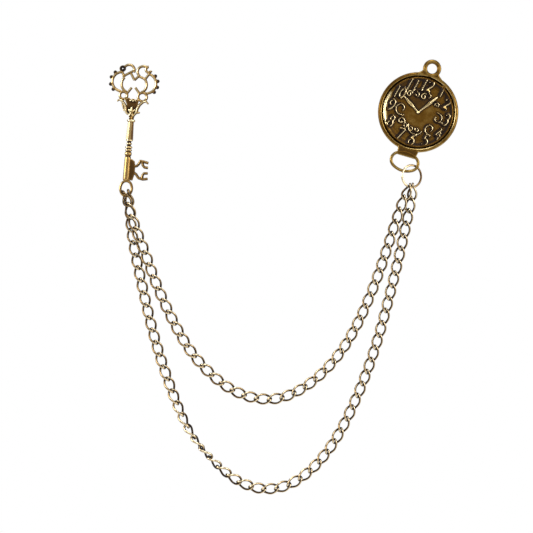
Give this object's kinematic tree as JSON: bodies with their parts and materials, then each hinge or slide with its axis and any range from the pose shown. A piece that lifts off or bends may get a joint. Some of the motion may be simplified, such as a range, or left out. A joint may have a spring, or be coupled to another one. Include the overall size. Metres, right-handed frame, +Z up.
{
  "type": "lapel chain",
  "caption": "Lapel chain with a round watch charm and a key charm on pins, joined by two hanging strands of twisted oval links.",
  "frame": {"origin": "centre of the watch charm on the cloth it is pinned to", "axes": "+Z up the coat, face and dial towards -Y, +X to the wearer's left as the face is seen, cloth in the plane Y = 0 with the pins' posts towards +Y"},
  "size_m": [0.1091, 0.0129, 0.1358],
  "materials": {
    "cast_bronze": "antique, dark in its recesses and worn bright on its high parts",
    "wire_bronze": "antique, dark between the links and worn bright along the wire",
    "pin_steel": "plain plated"
  },
  "bodies": {
    "root": {"watch_charm": "cast_bronze", "watch_pin": "pin_steel", "jump_ring": "wire_bronze", "chain_short": "wire_bronze", "chain_long": "wire_bronze", "key_charm": "cast_bronze", "key_pin": "pin_steel"}
  },
  "joints": []
}
